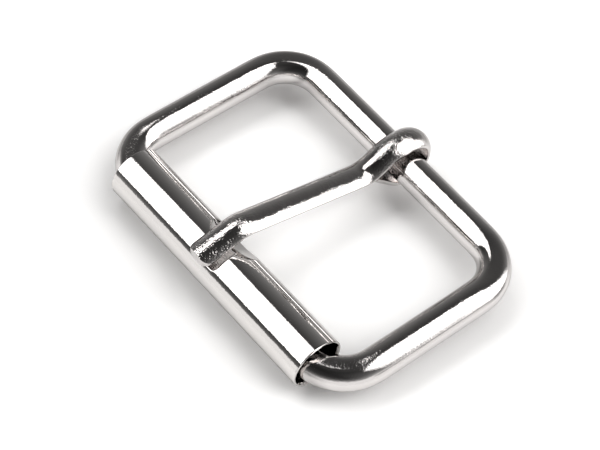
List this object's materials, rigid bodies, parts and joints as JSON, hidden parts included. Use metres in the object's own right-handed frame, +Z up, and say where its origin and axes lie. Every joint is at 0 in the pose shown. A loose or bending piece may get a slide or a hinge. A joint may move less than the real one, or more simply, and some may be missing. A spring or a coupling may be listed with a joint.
{
  "type": "roller buckle",
  "caption": "Bent-wire strap buckle with a loose sheet-metal roller on one side and a pivoting prong curled round the opposite bar.",
  "frame": {"origin": "middle of the bounding box, on the surface that the buckle rests on", "axes": "+X from the roller to the bar, +Y along the bar and the roller, +Z up from the surface"},
  "size_m": [0.0372, 0.049, 0.0099],
  "materials": {
    "nickel_frame": "bright nickel plate on steel wire, fine pits",
    "nickel_roller": "bright nickel plate on rolled sheet, smooth",
    "nickel_prong": "bright nickel plate on forged strip, speckled"
  },
  "bodies": {
    "frame": {"frame": "nickel_frame"},
    "roller": {"roller": "nickel_roller"},
    "prong": {"prong": "nickel_prong"}
  },
  "joints": [
    {"name": "prong_hinge", "type": "hinge", "parent": "frame", "child": "prong", "pos_m": [0.01407, 0, 0.00395], "axis": [0, 1, 0], "range_deg": [0, 180]},
    {"name": "roller_spin", "type": "hinge", "parent": "frame", "child": "roller", "pos_m": [-0.01496, 0, 0.00325], "axis": [-0.0244, 0.9997, -0.0006], "continuous": true}
  ]
}
